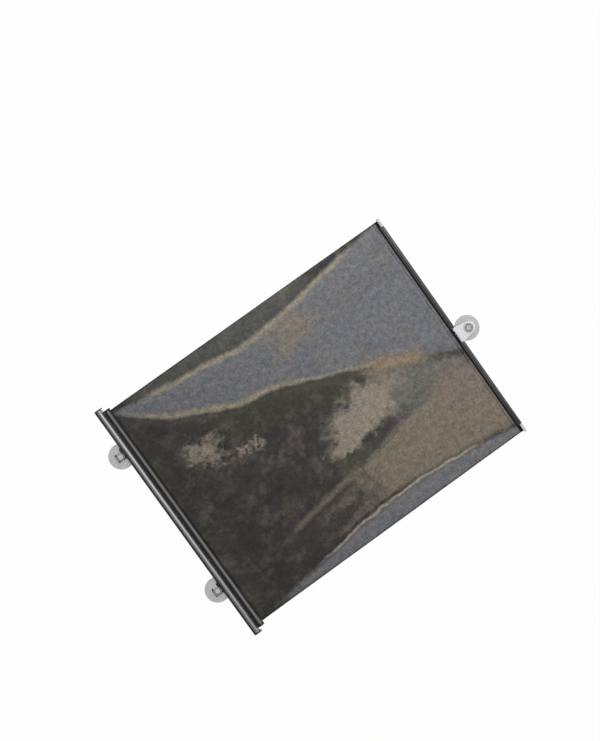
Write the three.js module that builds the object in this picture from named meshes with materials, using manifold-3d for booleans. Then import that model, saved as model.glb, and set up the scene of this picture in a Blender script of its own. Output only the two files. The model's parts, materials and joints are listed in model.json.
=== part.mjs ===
// Roller sunshade for a car's side window, pulled out and held by three suction cups.
// Millimetres. The glass is the plane z = 0, +X is the way the shade is pulled,
// +Y runs along the roller and +Z points from the glass into the car.
import * as THREE from 'three';
import { mergeVertices } from 'three/addons/utils/BufferGeometryUtils.js';
import Module from 'manifold-3d';

const wasm = await Module();
wasm.setup();

// Clearances
const FIT_GAP = 0.3;
const RUN_GAP = 0.2;
const END_PLAY = 0.3;

// Shade film
const FILM_WIDTH = 400;
const FILM_LENGTH = 498;
const FILM_THICKNESS = 0.2;

// Roller tube and the turns of film still wound on it
const TUBE_RADIUS = 4.3;
const TUBE_WALL = 0.8;
const TUBE_MARGIN = 0.2;
const WOUND_DEPTH = 1.15;
const BUSH_FLANGE = 0.6;
const BUSH_LENGTH = 12;
const PIN_RADIUS = 1.6;
const KEY_SIDE = 2.8;

// Torsion spring that winds the film in
const SPRING_RADIUS = 2.65;
const SPRING_WIRE = 0.6;
const SPRING_LENGTH = 78;
const SPRING_TURNS = 28;
const COLLAR_LENGTH = 6;
const HUB_LENGTH = 8;
const ANCHOR_LENGTH = 10;
const SHAFT_END_GAP = 1;

// Housing
const HOUSING_DEPTH = 10.7;
const FLOOR_THICKNESS = 1.7;
const WALL_THICKNESS = 2;
const WALL_HEIGHT = 8.2;
const COVER_SHEET = 0.9;
const COVER_LEG = 4.2;
const ROLL_CLEARANCE = 0.55;
const ROLL_LIFT = 0.25;

// End caps
const ARM_THICKNESS = 2.2;
const ARM_SETBACK = 5.2;
const FLANGE_REACH = 2.9;
const FLANGE_THICKNESS = 1.4;
const PLUG_DEPTH = 9;

// Suction cups
const RIM_RADIUS = 20.3;
const RIM_BAND = 1.4;
const DOME_HEIGHT = 9.4;
const NECK_RADIUS = 3.4;
const HEAD_RADIUS = 6.9;
const HEAD_HEIGHT = 4.4;

// Plates that hold the cups by their necks
const PLATE_THICKNESS = 3;
const SLOT_CLEARANCE = 0.4;
const TINE_WIDTH = 3;
const TINE_REACH = 7.5;
const FOOT_THICKNESS = 2.9;
const FOOT_REACH = 13;
const DETENT = 0.8;
const FORK_SPACING = 254;
const TONGUE_LENGTH = 9;
const TONGUE_HEIGHT = 2;

// Pull bar
const BAR_WIDTH = 8.4;
const BAR_WALL = 0.7;
const HEM_RADIUS = 1.5;
const BOX_HEIGHT = 4.8;
const CHANNEL_SETBACK = 11.9;
const END_PLUG_REACH = 14.9;
const END_PLUG_TONGUE = 12;

// Pull tab
const TAB_Y = -17.5;
const TAB_LENGTH = 26;
const TAB_REACH = 17.2;
const TAB_TONGUE = 7;
const EYE_RADIUS = 10.5;
const TAB_SHOULDER = 1.6;

// Facets round a circle
const CUP_SIDES = 48;
const ROUND_SIDES = 40;
const SMALL_SIDES = 24;
const WIRE_SIDES = 5;
const COIL_STEPS = 12;

// Heights above the glass
const PLATE_Z = DOME_HEIGHT + FIT_GAP;
const PLATE_TOP = PLATE_Z + PLATE_THICKNESS;
const HEAD_Z = PLATE_TOP + FIT_GAP;
const HOUSING_Z = PLATE_Z - FLOOR_THICKNESS;
const COVER_Z = PLATE_Z + FIT_GAP;
const ARCH_Z = COVER_Z + COVER_LEG;
const ROLL_RADIUS = TUBE_RADIUS + FIT_GAP + WOUND_DEPTH;
const AXIS_Z = HOUSING_Z + ROLL_RADIUS + ROLL_LIFT;
const FILM_Z = AXIS_Z - ROLL_RADIUS - FIT_GAP - FILM_THICKNESS / 2;

// Places along X, counted from the housing's outer face
const COVER_X0 = WALL_THICKNESS + FIT_GAP;
const COVER_X1 = HOUSING_DEPTH - FIT_GAP;
const ARCH_X = (COVER_X0 + COVER_X1) / 2;
const ARCH_RADIUS = (COVER_X1 - COVER_X0) / 2;
const AXIS_X = HOUSING_DEPTH + ROLL_CLEARANCE + ROLL_RADIUS;
const SLOT_HALF = NECK_RADIUS + SLOT_CLEARANCE;
const FORK_CUP_X = -(FIT_GAP + FOOT_THICKNESS + SLOT_HALF);
const BAR_X = AXIS_X + ROLL_RADIUS + FILM_LENGTH;
const TAB_CUP_X = BAR_X + BAR_WIDTH + TAB_REACH;

// Places along Y, counted from the middle of the film
const TUBE_END = FILM_WIDTH / 2 + TUBE_MARGIN;
const BUSH_END = TUBE_END + FIT_GAP + BUSH_FLANGE;
const ARM_Y0 = BUSH_END + END_PLAY;
const ARM_Y1 = ARM_Y0 + ARM_THICKNESS;
const BODY_END = ARM_Y1 + ARM_SETBACK;
const FLANGE_Y0 = BODY_END + FIT_GAP;
const CHANNEL_END = FILM_WIDTH / 2 - CHANNEL_SETBACK;
const FORK_ROOT = SLOT_HALF + TINE_WIDTH / 2;
const FORK_CUP_YS = [FORK_SPACING / 2 + FORK_ROOT, FORK_ROOT - FORK_SPACING / 2];

// Roller bores and the spring inside them
const TUBE_BORE = TUBE_RADIUS - TUBE_WALL;
const INNER_RADIUS = TUBE_BORE - FIT_GAP;
const COLLAR_RADIUS = SPRING_RADIUS - SPRING_WIRE / 2 - FIT_GAP;
const BUSH_INNER_END = BUSH_END - BUSH_FLANGE - BUSH_LENGTH;
const COLLAR_END = BUSH_INNER_END - END_PLAY;
const SPRING_START = COLLAR_END - FIT_GAP - SPRING_WIRE / 2;
const SPRING_STOP = SPRING_START - SPRING_LENGTH;
const ANCHOR_FACE = SPRING_STOP - SPRING_WIRE / 2 - FIT_GAP;
const SHAFT_STOP = ANCHOR_FACE + HUB_LENGTH + SHAFT_END_GAP;

// Bar section, counted from the bar's film side and the film's plane
const LOOP_RADIUS = HEM_RADIUS;
const LOOP_BORE = LOOP_RADIUS - FILM_THICKNESS;
const ROD_RADIUS = LOOP_BORE - FIT_GAP;
const CHAMBER_RADIUS = LOOP_RADIUS + FIT_GAP;
const CHANNEL_RADIUS = CHAMBER_RADIUS + BAR_WALL;
const LOOP_X = BAR_X + CHANNEL_RADIUS;
const SOCKET_X0 = LOOP_X + CHANNEL_RADIUS;
const SOCKET_X1 = BAR_X + BAR_WIDTH - BAR_WALL;
const SOCKET_HALF = BOX_HEIGHT / 2 - BAR_WALL;
const BLOCK_X0 = LOOP_X + LOOP_RADIUS + FIT_GAP;

// Materials
function material(color, roughness, metalness = 0) {
  return new THREE.MeshStandardMaterial({ color, roughness, metalness });
}

const BLACK_PLASTIC = material('#232325', 0.45);
const SILVER_ALUMINIUM = material('#b9bbbe', 0.3, 0.9);
const CLEAR_VINYL = material('#c9cbcc', 0.2);
const CLEAR_PLASTIC = material('#dcdce2', 0.15);
const WHITE_PLASTIC = material('#e4e4e2', 0.4);
const FILM_PLASTIC = material('#55554f', 0.3, 0.2);
const TUBE_METAL = material('#8d8f92', 0.4, 0.9);
const SPRING_STEEL = material('#9a9ca0', 0.35, 0.9);

// Shape helpers
function shapeOf(points) {
  return new THREE.Shape(points.map(([a, b]) => new THREE.Vector2(a, b)));
}

function disc(x, y, radius) {
  const shape = new THREE.Shape();
  shape.absarc(x, y, radius, 0, 2 * Math.PI, false);
  return shape;
}

function circlePath(x, y, radius) {
  const path = new THREE.Path();
  path.absarc(x, y, radius, 0, 2 * Math.PI, true);
  return path;
}

// Extrudes a section drawn in X and Z from y0 to y1.
function alongY(section, y0, y1, sides = SMALL_SIDES) {
  const options = { depth: y1 - y0, bevelEnabled: false, curveSegments: sides / 2 };
  return new THREE.ExtrudeGeometry(section, options).rotateX(Math.PI / 2).translate(0, y1, 0);
}

// Extrudes a plan drawn in X and Y from z0 to z1.
function alongZ(plan, z0, z1, sides = SMALL_SIDES) {
  const options = { depth: z1 - z0, bevelEnabled: false, curveSegments: sides / 2 };
  return new THREE.ExtrudeGeometry(plan, options).translate(0, 0, z0);
}

function boxBetween([x0, y0, z0], [x1, y1, z1]) {
  const box = new THREE.BoxGeometry(x1 - x0, y1 - y0, z1 - z0);
  return box.translate((x0 + x1) / 2, (y0 + y1) / 2, (z0 + z1) / 2);
}

function rodAlongY(radius, y0, y1, sides = SMALL_SIDES) {
  return alongY(disc(AXIS_X, AXIS_Z, radius), y0, y1, sides);
}

function ringAlongY(outer, inner, y0, y1, sides = ROUND_SIDES) {
  const section = disc(AXIS_X, AXIS_Z, outer);
  section.holes.push(circlePath(AXIS_X, AXIS_Z, inner));
  return alongY(section, y0, y1, sides);
}

// Mirrors a closed geometry to the other end of the housing or bar.
function mirroredY(geometry) {
  const flipped = geometry.index ? geometry.toNonIndexed() : geometry.clone();
  const place = flipped.getAttribute('position');
  for (let i = 0; i < place.count; i += 3) {
    const corners = [0, 2, 1].map((k) => new THREE.Vector3().fromBufferAttribute(place, i + k));
    corners.forEach((corner, k) => place.setXYZ(i + k, corner.x, -corner.y, corner.z));
  }
  return flipped;
}

// Boolean helpers
function solidOf(geometry) {
  const bare = geometry.clone();
  bare.deleteAttribute('normal');
  bare.deleteAttribute('uv');
  const merged = mergeVertices(bare, 1e-5);
  return new wasm.Manifold(new wasm.Mesh({
    numProp: 3,
    vertProperties: new Float32Array(merged.getAttribute('position').array),
    triVerts: new Uint32Array(merged.index.array),
  }));
}

function geometryOf(solid) {
  const mesh = solid.getMesh();
  const geometry = new THREE.BufferGeometry();
  geometry.setAttribute('position', new THREE.BufferAttribute(mesh.vertProperties, mesh.numProp));
  geometry.setIndex(new THREE.BufferAttribute(mesh.triVerts, 1));
  return geometry;
}

function joined(...geometries) {
  return geometryOf(geometries.map(solidOf).reduce((whole, piece) => whole.add(piece)));
}

function cut(geometry, ...tools) {
  return geometryOf(tools.map(solidOf).reduce((whole, tool) => whole.subtract(tool), solidOf(geometry)));
}

// Housing base: an open channel with a floor and a tall outer wall
function baseSection() {
  const shape = new THREE.Shape();
  const wallTop = HOUSING_Z + WALL_HEIGHT;
  const round = WALL_THICKNESS / 2;
  shape.moveTo(0, HOUSING_Z);
  shape.lineTo(HOUSING_DEPTH, HOUSING_Z);
  shape.lineTo(HOUSING_DEPTH, PLATE_Z);
  shape.lineTo(WALL_THICKNESS, PLATE_Z);
  shape.lineTo(WALL_THICKNESS, wallTop - round);
  shape.absarc(round, wallTop - round, round, 0, Math.PI, false);
  return shape;
}

function tongueBox(cupY, gap) {
  const middle = cupY - FORK_ROOT + TONGUE_LENGTH / 2;
  const level = PLATE_Z + PLATE_THICKNESS / 2;
  const halfLength = TONGUE_LENGTH / 2 + gap;
  const halfHeight = TONGUE_HEIGHT / 2 + gap;
  const low = [-FIT_GAP - FOOT_THICKNESS / 2, middle - halfLength, level - halfHeight];
  const high = [WALL_THICKNESS - RUN_GAP + gap, middle + halfLength, level + halfHeight];
  return boxBetween(low, high);
}

function housingBase() {
  const channel = alongY(baseSection(), -BODY_END, BODY_END, 6);
  const windows = FORK_CUP_YS.map((cupY) => tongueBox(cupY, FIT_GAP));
  return cut(channel, ...windows);
}

// Housing cover: a thin half-round sheet with a leg behind the outer wall
function housingCover() {
  const shape = new THREE.Shape();
  const bore = ARCH_RADIUS - COVER_SHEET;
  shape.moveTo(COVER_X0, COVER_Z);
  shape.lineTo(COVER_X0 + COVER_SHEET, COVER_Z);
  shape.lineTo(COVER_X0 + COVER_SHEET, ARCH_Z);
  shape.absarc(ARCH_X, ARCH_Z, bore, Math.PI, 0, true);
  shape.lineTo(COVER_X1, ARCH_Z);
  shape.absarc(ARCH_X, ARCH_Z, ARCH_RADIUS, 0, Math.PI, false);
  return alongY(shape, -BODY_END, BODY_END, 16);
}

// End caps: a flange, a plug inside the cover and an arm that carries the roller
function capFlange() {
  const shape = new THREE.Shape();
  const back = HOUSING_Z + WALL_HEIGHT;
  const front = HOUSING_DEPTH + FLANGE_REACH;
  const crown = ARCH_Z + ARCH_RADIUS + FIT_GAP;
  shape.moveTo(0, HOUSING_Z);
  shape.lineTo(front - FLANGE_REACH, HOUSING_Z);
  shape.quadraticCurveTo(front, HOUSING_Z, front, ARCH_Z);
  shape.quadraticCurveTo(front, crown, ARCH_X, crown);
  shape.quadraticCurveTo(0, crown, 0, back - WALL_THICKNESS);
  return alongY(shape, FLANGE_Y0, FLANGE_Y0 + FLANGE_THICKNESS, 16);
}

function capPlug() {
  const shape = new THREE.Shape();
  const radius = ARCH_RADIUS - COVER_SHEET - FIT_GAP;
  shape.moveTo(ARCH_X - radius, COVER_Z);
  shape.lineTo(ARCH_X + radius, COVER_Z);
  shape.absarc(ARCH_X, ARCH_Z, radius, 0, Math.PI, false);
  return alongY(shape, FLANGE_Y0 - PLUG_DEPTH, FLANGE_Y0 + FLANGE_THICKNESS / 2, 16);
}

function capArm() {
  const neck = boxBetween([ARCH_X, ARM_Y0, COVER_Z], [AXIS_X, ARM_Y1, ARCH_Z - FIT_GAP]);
  return joined(neck, rodAlongY(ROLL_RADIUS, ARM_Y0, ARM_Y1, ROUND_SIDES));
}

function endCap(hole) {
  return cut(joined(capFlange(), capPlug(), capArm()), hole);
}

function roundHole() {
  return rodAlongY(PIN_RADIUS + RUN_GAP, ARM_Y0 - 1, ARM_Y1 + 1);
}

function keyBox(side, y0, y1) {
  const half = side / 2;
  return boxBetween([AXIS_X - half, y0, AXIS_Z - half], [AXIS_X + half, y1, AXIS_Z + half]);
}

function keyHole() {
  return keyBox(KEY_SIDE + 2 * RUN_GAP, ARM_Y0 - 1, ARM_Y1 + 1);
}

// Forks: a foot on the housing's outer wall and two tines round a cup's neck
function forkPlan(cupY) {
  const shape = new THREE.Shape();
  const footX = -FIT_GAP;
  const innerX = FORK_CUP_X + SLOT_HALF;
  const outerX = FORK_CUP_X - SLOT_HALF;
  const tipX = outerX - TINE_WIDTH / 2;
  const edgeX = outerX - TINE_WIDTH;
  const rootY = cupY - SLOT_HALF - TINE_WIDTH;
  const catchY = cupY + NECK_RADIUS + SLOT_CLEARANCE;
  const tipY = cupY + TINE_REACH;
  shape.moveTo(edgeX, rootY);
  shape.lineTo(footX, rootY);
  shape.lineTo(footX, cupY + FOOT_REACH);
  shape.lineTo(innerX, cupY + FOOT_REACH - FOOT_THICKNESS);
  shape.lineTo(innerX, catchY + 2 * DETENT);
  shape.lineTo(innerX - DETENT, catchY + DETENT);
  shape.lineTo(innerX, catchY);
  shape.lineTo(innerX, cupY);
  shape.absarc(FORK_CUP_X, cupY, SLOT_HALF, 0, -Math.PI, true);
  shape.lineTo(outerX, catchY);
  shape.lineTo(outerX + DETENT, catchY + DETENT);
  shape.lineTo(outerX, catchY + 2 * DETENT);
  shape.lineTo(outerX, tipY - TINE_WIDTH / 2);
  shape.absarc(tipX, tipY - TINE_WIDTH / 2, TINE_WIDTH / 2, 0, Math.PI, false);
  return shape;
}

function fork(cupY) {
  return joined(alongZ(forkPlan(cupY), PLATE_Z, PLATE_TOP, 12), tongueBox(cupY, 0));
}

// Suction cups: a hollow dome, a neck and a domed head with a dimple
function cupProfile() {
  const bowl = RIM_RADIUS - RIM_BAND;
  const flare = bowl - NECK_RADIUS;
  const outside = [[0.9, 0.16], [0.68, 0.37], [0.46, 0.56], [0.27, 0.7], [0.14, 0.8], [0.05, 0.91]];
  const inside = [[0.7, 0.22], [0.47, 0.39], [0.25, 0.53], [0.06, 0.62]];
  const top = HEAD_Z + HEAD_HEIGHT;
  return [
    [0, DOME_HEIGHT * 0.65],
    ...inside.reverse().map(([a, b]) => [NECK_RADIUS + a * flare, b * DOME_HEIGHT]),
    [bowl, 0],
    [RIM_RADIUS, 0],
    [RIM_RADIUS, 0.5],
    ...outside.map(([a, b]) => [NECK_RADIUS + a * flare, b * DOME_HEIGHT]),
    [NECK_RADIUS, DOME_HEIGHT],
    [NECK_RADIUS, HEAD_Z],
    [HEAD_RADIUS - 0.5, HEAD_Z + 0.1],
    [HEAD_RADIUS, HEAD_Z + 1],
    [HEAD_RADIUS - 0.5, HEAD_Z + 2.6],
    [HEAD_RADIUS - 2.3, top - 0.4],
    [HEAD_RADIUS - 3.7, top],
    [HEAD_RADIUS - 4.3, top - 0.5],
    [0, top - 0.7],
  ];
}

function suctionCup(x, y) {
  const profile = cupProfile().map(([r, z]) => new THREE.Vector2(r, z));
  const dome = new THREE.LatheGeometry(profile, CUP_SIDES).rotateX(Math.PI / 2);
  return geometryOf(solidOf(dome)).translate(x, y, 0);
}

// Roller: tube, bushes, wound film, and the fixed shaft and spring inside
function bush(pin) {
  const flange = rodAlongY(TUBE_RADIUS, TUBE_END + FIT_GAP, BUSH_END, ROUND_SIDES);
  const plug = rodAlongY(INNER_RADIUS, BUSH_INNER_END, TUBE_END + FIT_GAP + BUSH_FLANGE / 2);
  const body = joined(flange, plug);
  if (pin) {
    return joined(body, rodAlongY(PIN_RADIUS, BUSH_END - BUSH_FLANGE / 2, ARM_Y1 - FIT_GAP));
  }
  return cut(body, rodAlongY(PIN_RADIUS + RUN_GAP, BUSH_INNER_END - 1, BUSH_END + 1));
}

function springShaft() {
  const keyStart = BUSH_END + FIT_GAP;
  return joined(
    rodAlongY(PIN_RADIUS, SHAFT_STOP, keyStart + ARM_THICKNESS / 2),
    rodAlongY(COLLAR_RADIUS, COLLAR_END - COLLAR_LENGTH, COLLAR_END),
    keyBox(KEY_SIDE, keyStart, ARM_Y1 - FIT_GAP),
  );
}

function springAnchor() {
  return joined(
    rodAlongY(INNER_RADIUS, ANCHOR_FACE - ANCHOR_LENGTH, ANCHOR_FACE),
    rodAlongY(COLLAR_RADIUS, ANCHOR_FACE - FIT_GAP, ANCHOR_FACE + HUB_LENGTH),
  );
}

class Helix extends THREE.Curve {
  getPoint(t, target = new THREE.Vector3()) {
    const turn = 2 * Math.PI * SPRING_TURNS * t;
    const x = AXIS_X + SPRING_RADIUS * Math.cos(turn);
    const z = AXIS_Z + SPRING_RADIUS * Math.sin(turn);
    return target.set(x, -SPRING_STOP - SPRING_LENGTH * t, z);
  }
}

function torsionSpring() {
  const wire = [];
  for (let i = 0; i < WIRE_SIDES; i += 1) {
    const angle = (2 * Math.PI * i) / WIRE_SIDES;
    wire.push([Math.cos(angle) * SPRING_WIRE / 2, Math.sin(angle) * SPRING_WIRE / 2]);
  }
  const options = { steps: SPRING_TURNS * COIL_STEPS, bevelEnabled: false, extrudePath: new Helix() };
  return new THREE.ExtrudeGeometry(shapeOf(wire), options);
}

// Film: a flat sheet from under the roll to the hem loop round the hem rod
function shadeFilm() {
  const half = FILM_THICKNESS / 2;
  const meet = Math.asin(half / LOOP_RADIUS);
  const section = new THREE.Shape();
  section.moveTo(AXIS_X, FILM_Z + half);
  section.lineTo(AXIS_X, FILM_Z - half);
  section.lineTo(LOOP_X - LOOP_RADIUS * Math.cos(meet), FILM_Z - half);
  section.absarc(LOOP_X, FILM_Z, LOOP_RADIUS, Math.PI + meet, 3 * Math.PI - meet, false);
  section.holes.push(circlePath(LOOP_X, FILM_Z, LOOP_BORE));
  return alongY(section, -FILM_WIDTH / 2, FILM_WIDTH / 2, 24);
}

function hemRod() {
  return alongY(disc(LOOP_X, FILM_Z, ROD_RADIUS), -FILM_WIDTH / 2, FILM_WIDTH / 2, 12);
}

// Bar channels: a slotted tube round the hem, joined to a box socket
function channelSection() {
  const mouth = FILM_THICKNESS / 2 + FIT_GAP;
  const outerLip = Math.asin(mouth / CHANNEL_RADIUS);
  const innerLip = Math.asin(mouth / CHAMBER_RADIUS);
  const valley = Math.PI / 4;
  const shoulder = LOOP_X + CHANNEL_RADIUS * Math.cos(valley);
  const edge = BAR_X + BAR_WIDTH;
  const half = BOX_HEIGHT / 2;
  const shape = new THREE.Shape();
  shape.moveTo(LOOP_X - CHANNEL_RADIUS * Math.cos(outerLip), FILM_Z - mouth);
  shape.absarc(LOOP_X, FILM_Z, CHANNEL_RADIUS, Math.PI + outerLip, 2 * Math.PI - valley, false);
  shape.lineTo(shoulder + BAR_WALL, FILM_Z - half);
  shape.lineTo(edge - BAR_WALL, FILM_Z - half);
  shape.lineTo(edge, FILM_Z - SOCKET_HALF);
  shape.lineTo(edge, FILM_Z + SOCKET_HALF);
  shape.lineTo(edge - BAR_WALL, FILM_Z + half);
  shape.lineTo(shoulder + BAR_WALL, FILM_Z + half);
  shape.absarc(LOOP_X, FILM_Z, CHANNEL_RADIUS, valley, Math.PI - outerLip, false);
  shape.absarc(LOOP_X, FILM_Z, CHAMBER_RADIUS, Math.PI - innerLip, -Math.PI + innerLip, true);
  shape.holes.push(new THREE.Path([
    new THREE.Vector2(SOCKET_X0, FILM_Z - SOCKET_HALF),
    new THREE.Vector2(SOCKET_X0, FILM_Z + SOCKET_HALF),
    new THREE.Vector2(SOCKET_X1, FILM_Z + SOCKET_HALF),
    new THREE.Vector2(SOCKET_X1, FILM_Z - SOCKET_HALF),
  ]));
  return shape;
}

function barChannel(y0, y1) {
  return alongY(channelSection(), y0, y1, 16);
}

function socketTongue(y0, y1) {
  const half = SOCKET_HALF - FIT_GAP;
  const low = [SOCKET_X0 + FIT_GAP, y0, FILM_Z - half];
  return boxBetween(low, [SOCKET_X1 - FIT_GAP, y1, FILM_Z + half]);
}

// End plugs: a rounded head beyond the channel and a tongue in its socket
function endPlug() {
  const y0 = CHANNEL_END + FIT_GAP;
  const y1 = y0 + END_PLUG_REACH;
  const edge = BAR_X + BAR_WIDTH;
  const round = (edge - BLOCK_X0) / 2;
  const plan = new THREE.Shape();
  plan.moveTo(BLOCK_X0, y0);
  plan.lineTo(edge, y0);
  plan.absarc(BLOCK_X0 + round, y1 - round, round, 0, Math.PI, false);
  const head = alongZ(plan, FILM_Z - BOX_HEIGHT / 2, FILM_Z + BOX_HEIGHT / 2, 12);
  return joined(head, socketTongue(CHANNEL_END - END_PLUG_TONGUE, y0 + 1));
}

// Pull tab: a block between the channels and an eye round the third cup's neck
function tabPlan() {
  const half = TAB_LENGTH / 2;
  const shoulderX = BAR_X + BAR_WIDTH + TAB_SHOULDER;
  const reach = TAB_CUP_X - shoulderX;
  const apart = Math.hypot(reach, half);
  const lean = Math.atan2(reach, half) - Math.asin(EYE_RADIUS / apart);
  const plan = new THREE.Shape();
  plan.moveTo(BLOCK_X0, TAB_Y - half);
  plan.lineTo(shoulderX, TAB_Y - half);
  plan.absarc(TAB_CUP_X, TAB_Y, EYE_RADIUS, lean - Math.PI / 2, Math.PI / 2 - lean, false);
  plan.lineTo(shoulderX, TAB_Y + half);
  plan.lineTo(BLOCK_X0, TAB_Y + half);
  plan.holes.push(circlePath(TAB_CUP_X, TAB_Y, NECK_RADIUS + SLOT_CLEARANCE));
  return plan;
}

function pullTab() {
  const half = TAB_LENGTH / 2;
  const foot = [BLOCK_X0, TAB_Y - half, FILM_Z - BOX_HEIGHT / 2];
  return joined(
    alongZ(tabPlan(), PLATE_Z, PLATE_TOP, ROUND_SIDES),
    boxBetween(foot, [BAR_X + BAR_WIDTH, TAB_Y + half, PLATE_Z + PLATE_THICKNESS / 2]),
    socketTongue(TAB_Y - half - TAB_TONGUE, TAB_Y + half + TAB_TONGUE),
  );
}

// Assembly
const group = new THREE.Group();
group.position.x = -(FORK_CUP_X - RIM_RADIUS + TAB_CUP_X + RIM_RADIUS) / 2;

function add(name, geometry, surface) {
  const mesh = new THREE.Mesh(geometry, surface);
  mesh.name = name;
  group.add(mesh);
}

add('housing_base', housingBase(), BLACK_PLASTIC);
add('housing_cover', housingCover(), SILVER_ALUMINIUM);
add('end_cap_idler', endCap(roundHole()), BLACK_PLASTIC);
add('end_cap_spring', mirroredY(endCap(keyHole())), BLACK_PLASTIC);

FORK_CUP_YS.forEach((cupY, i) => {
  add(`fork_${i + 1}`, fork(cupY), BLACK_PLASTIC);
  add(`suction_cup_${i + 1}`, suctionCup(FORK_CUP_X, cupY), CLEAR_VINYL);
});

add('roller_tube', ringAlongY(TUBE_RADIUS, TUBE_BORE, -TUBE_END, TUBE_END), TUBE_METAL);
add('film_roll', ringAlongY(ROLL_RADIUS, TUBE_RADIUS + FIT_GAP, -FILM_WIDTH / 2, FILM_WIDTH / 2), FILM_PLASTIC);
add('idler_bush', bush(true), BLACK_PLASTIC);
add('spring_bush', mirroredY(bush(false)), BLACK_PLASTIC);
add('spring_shaft', mirroredY(springShaft()), TUBE_METAL);
add('spring_anchor', mirroredY(springAnchor()), BLACK_PLASTIC);
add('torsion_spring', torsionSpring(), SPRING_STEEL);

add('shade_film', shadeFilm(), FILM_PLASTIC);
add('hem_rod', hemRod(), BLACK_PLASTIC);
add('bar_channel_long', barChannel(TAB_Y + TAB_LENGTH / 2 + FIT_GAP, CHANNEL_END), BLACK_PLASTIC);
add('bar_channel_short', barChannel(-CHANNEL_END, TAB_Y - TAB_LENGTH / 2 - FIT_GAP), BLACK_PLASTIC);
add('bar_plug_1', endPlug(), WHITE_PLASTIC);
add('bar_plug_2', mirroredY(endPlug()), WHITE_PLASTIC);
add('pull_tab', pullTab(), CLEAR_PLASTIC);
add('suction_cup_3', suctionCup(TAB_CUP_X, TAB_Y), CLEAR_VINYL);

export default group;
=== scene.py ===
import json
import math

import bmesh
import bpy
import numpy as np
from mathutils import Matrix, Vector

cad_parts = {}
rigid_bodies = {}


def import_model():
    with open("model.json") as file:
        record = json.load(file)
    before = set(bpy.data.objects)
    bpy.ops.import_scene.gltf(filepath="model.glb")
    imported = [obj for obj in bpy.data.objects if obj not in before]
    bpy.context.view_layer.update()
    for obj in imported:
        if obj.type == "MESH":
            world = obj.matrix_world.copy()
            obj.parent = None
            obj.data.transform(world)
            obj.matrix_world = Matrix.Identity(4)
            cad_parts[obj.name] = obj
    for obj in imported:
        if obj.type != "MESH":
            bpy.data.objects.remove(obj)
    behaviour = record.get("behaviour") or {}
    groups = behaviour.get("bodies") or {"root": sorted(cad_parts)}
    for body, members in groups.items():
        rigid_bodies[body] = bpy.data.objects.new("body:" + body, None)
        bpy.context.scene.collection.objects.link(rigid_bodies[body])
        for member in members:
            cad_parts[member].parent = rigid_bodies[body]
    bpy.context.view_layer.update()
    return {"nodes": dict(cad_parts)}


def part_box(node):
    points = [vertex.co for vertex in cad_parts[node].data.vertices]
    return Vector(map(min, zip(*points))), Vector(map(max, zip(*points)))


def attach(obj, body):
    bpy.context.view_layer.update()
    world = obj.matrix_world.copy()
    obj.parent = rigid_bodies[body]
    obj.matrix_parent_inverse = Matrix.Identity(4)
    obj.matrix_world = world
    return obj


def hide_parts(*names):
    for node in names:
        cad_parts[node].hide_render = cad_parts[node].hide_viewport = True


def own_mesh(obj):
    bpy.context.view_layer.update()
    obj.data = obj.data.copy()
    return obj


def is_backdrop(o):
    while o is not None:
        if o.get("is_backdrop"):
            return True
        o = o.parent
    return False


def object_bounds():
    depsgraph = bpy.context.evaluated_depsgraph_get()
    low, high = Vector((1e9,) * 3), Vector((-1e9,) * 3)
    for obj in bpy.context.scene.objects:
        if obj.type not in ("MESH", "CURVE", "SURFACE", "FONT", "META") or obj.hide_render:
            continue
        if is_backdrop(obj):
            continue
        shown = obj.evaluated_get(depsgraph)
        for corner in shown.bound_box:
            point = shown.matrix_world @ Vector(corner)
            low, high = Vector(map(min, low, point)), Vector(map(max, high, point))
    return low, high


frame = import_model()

# Roller sunshade for a car's side window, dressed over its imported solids. The solids' own
# boxes give the places, and the sizes that they don't show are written here in metres.
MM = 0.001
MERGE_WITHIN = 0.002 * MM

COVER_SHEET = 0.9 * MM

ROLL_RADIUS = 5.75 * MM
ROLL_BORE = 4.6 * MM
TURN_GAP = 0.02 * MM
TURN_DEPTHS = (0.0, 0.22, 0.1, 0.3, 0.16)

GUARD_OFF_ROLL = 0.1 * MM
GUARD_WALL = 0.75 * MM
GUARD_START = 0.35 * MM
GUARD_END = 1.5 * MM

CHANNEL_RADIUS = 2.5 * MM
CHANNEL_WALL = 0.7 * MM
CHANNEL_LIP_REACH = 2.3 * MM
CHANNEL_SLOT_HALF = 0.4 * MM
PLUG_BOX_HALF = 2.4 * MM

FILM_WIDTH = 400 * MM
FILM_SHEET = 0.15 * MM
FILM_REACH = 505 * MM
FILM_UNDER_ROLL = 0.12 * MM
FILM_DROP_LENGTH = 40 * MM
FILM_ROWS = 230
FILM_COLUMNS = 150
HEM_RADIUS = 1.4 * MM
HEM_STEPS = 24
HEM_FLAP_ROWS = 6
HEM_FLAP_STEP = 1.0 * MM
HEM_FLAP_LIFT = 0.2 * MM


# Colours and node trees

def tone(hex_colour):
    """A colour read as the eye sees it, made linear for the shader."""
    parts = [int(hex_colour[i:i + 2], 16) / 255 for i in (1, 3, 5)]
    linear = [p / 12.92 if p <= 0.04045 else ((p + 0.055) / 1.055) ** 2.4 for p in parts]
    return (*linear, 1.0)


def grain(size):
    """The scale that gives a pattern features of this size, in metres."""
    return 1.0 / size


def add_node(tree, kind, inputs=None, **settings):
    """Adds a node, sets its options, and fills its sockets with values or links."""
    made = tree.nodes.new(kind)
    for option, value in settings.items():
        setattr(made, option, value)
    for socket, value in (inputs or {}).items():
        if isinstance(value, bpy.types.NodeSocket):
            tree.links.new(value, made.inputs[socket])
        else:
            made.inputs[socket].default_value = value
    return made


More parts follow.
